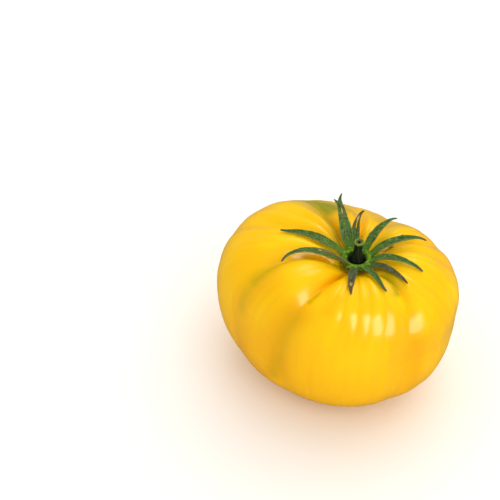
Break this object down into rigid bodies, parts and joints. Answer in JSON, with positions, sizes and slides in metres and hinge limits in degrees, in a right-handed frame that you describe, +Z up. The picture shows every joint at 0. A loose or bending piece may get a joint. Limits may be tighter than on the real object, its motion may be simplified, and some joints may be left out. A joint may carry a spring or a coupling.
{
  "type": "beefsteak tomato",
  "caption": "Ribbed yellow beefsteak tomato with a green star-shaped calyx and a short cut stem, resting on its flat blossom end.",
  "frame": {"origin": "on the surface the tomato rests on, under the middle of its bounding box", "axes": "+Z up, along the fruit's core from blossom end to stem; +X along the fruit's longest width; +Y away from the deep left furrow's side, towards the tall sepal"},
  "size_m": [0.0962, 0.0954, 0.0768],
  "materials": {
    "skin": "smooth glossy tomato skin, golden yellow",
    "calyx_green": "matt, finely downy green",
    "stem_green": "matt dark green with a paler cut end",
    "sepal_green": "matt green leaf, darker between paler veins",
    "sepal_dark": "matt grey-green withering leaf",
    "sepal_dry": "matt olive-brown dried leaf edge"
  },
  "bodies": {
    "root": {"fruit": "skin", "calyx_cup": "calyx_green", "stem": "stem_green", "sepal_back_left": "sepal_green", "sepal_back_tall": "sepal_green", "sepal_back_split": "sepal_green", "sepal_back_right": "sepal_green", "sepal_right_long": "sepal_green", "sepal_right_drooping": "sepal_green", "sepal_right_dark": "sepal_dark", "sepal_front_slender": "sepal_green", "sepal_front_short": "sepal_dark", "sepal_left_curled": "sepal_dry", "sepal_left_drooping": "sepal_green"}
  },
  "joints": []
}
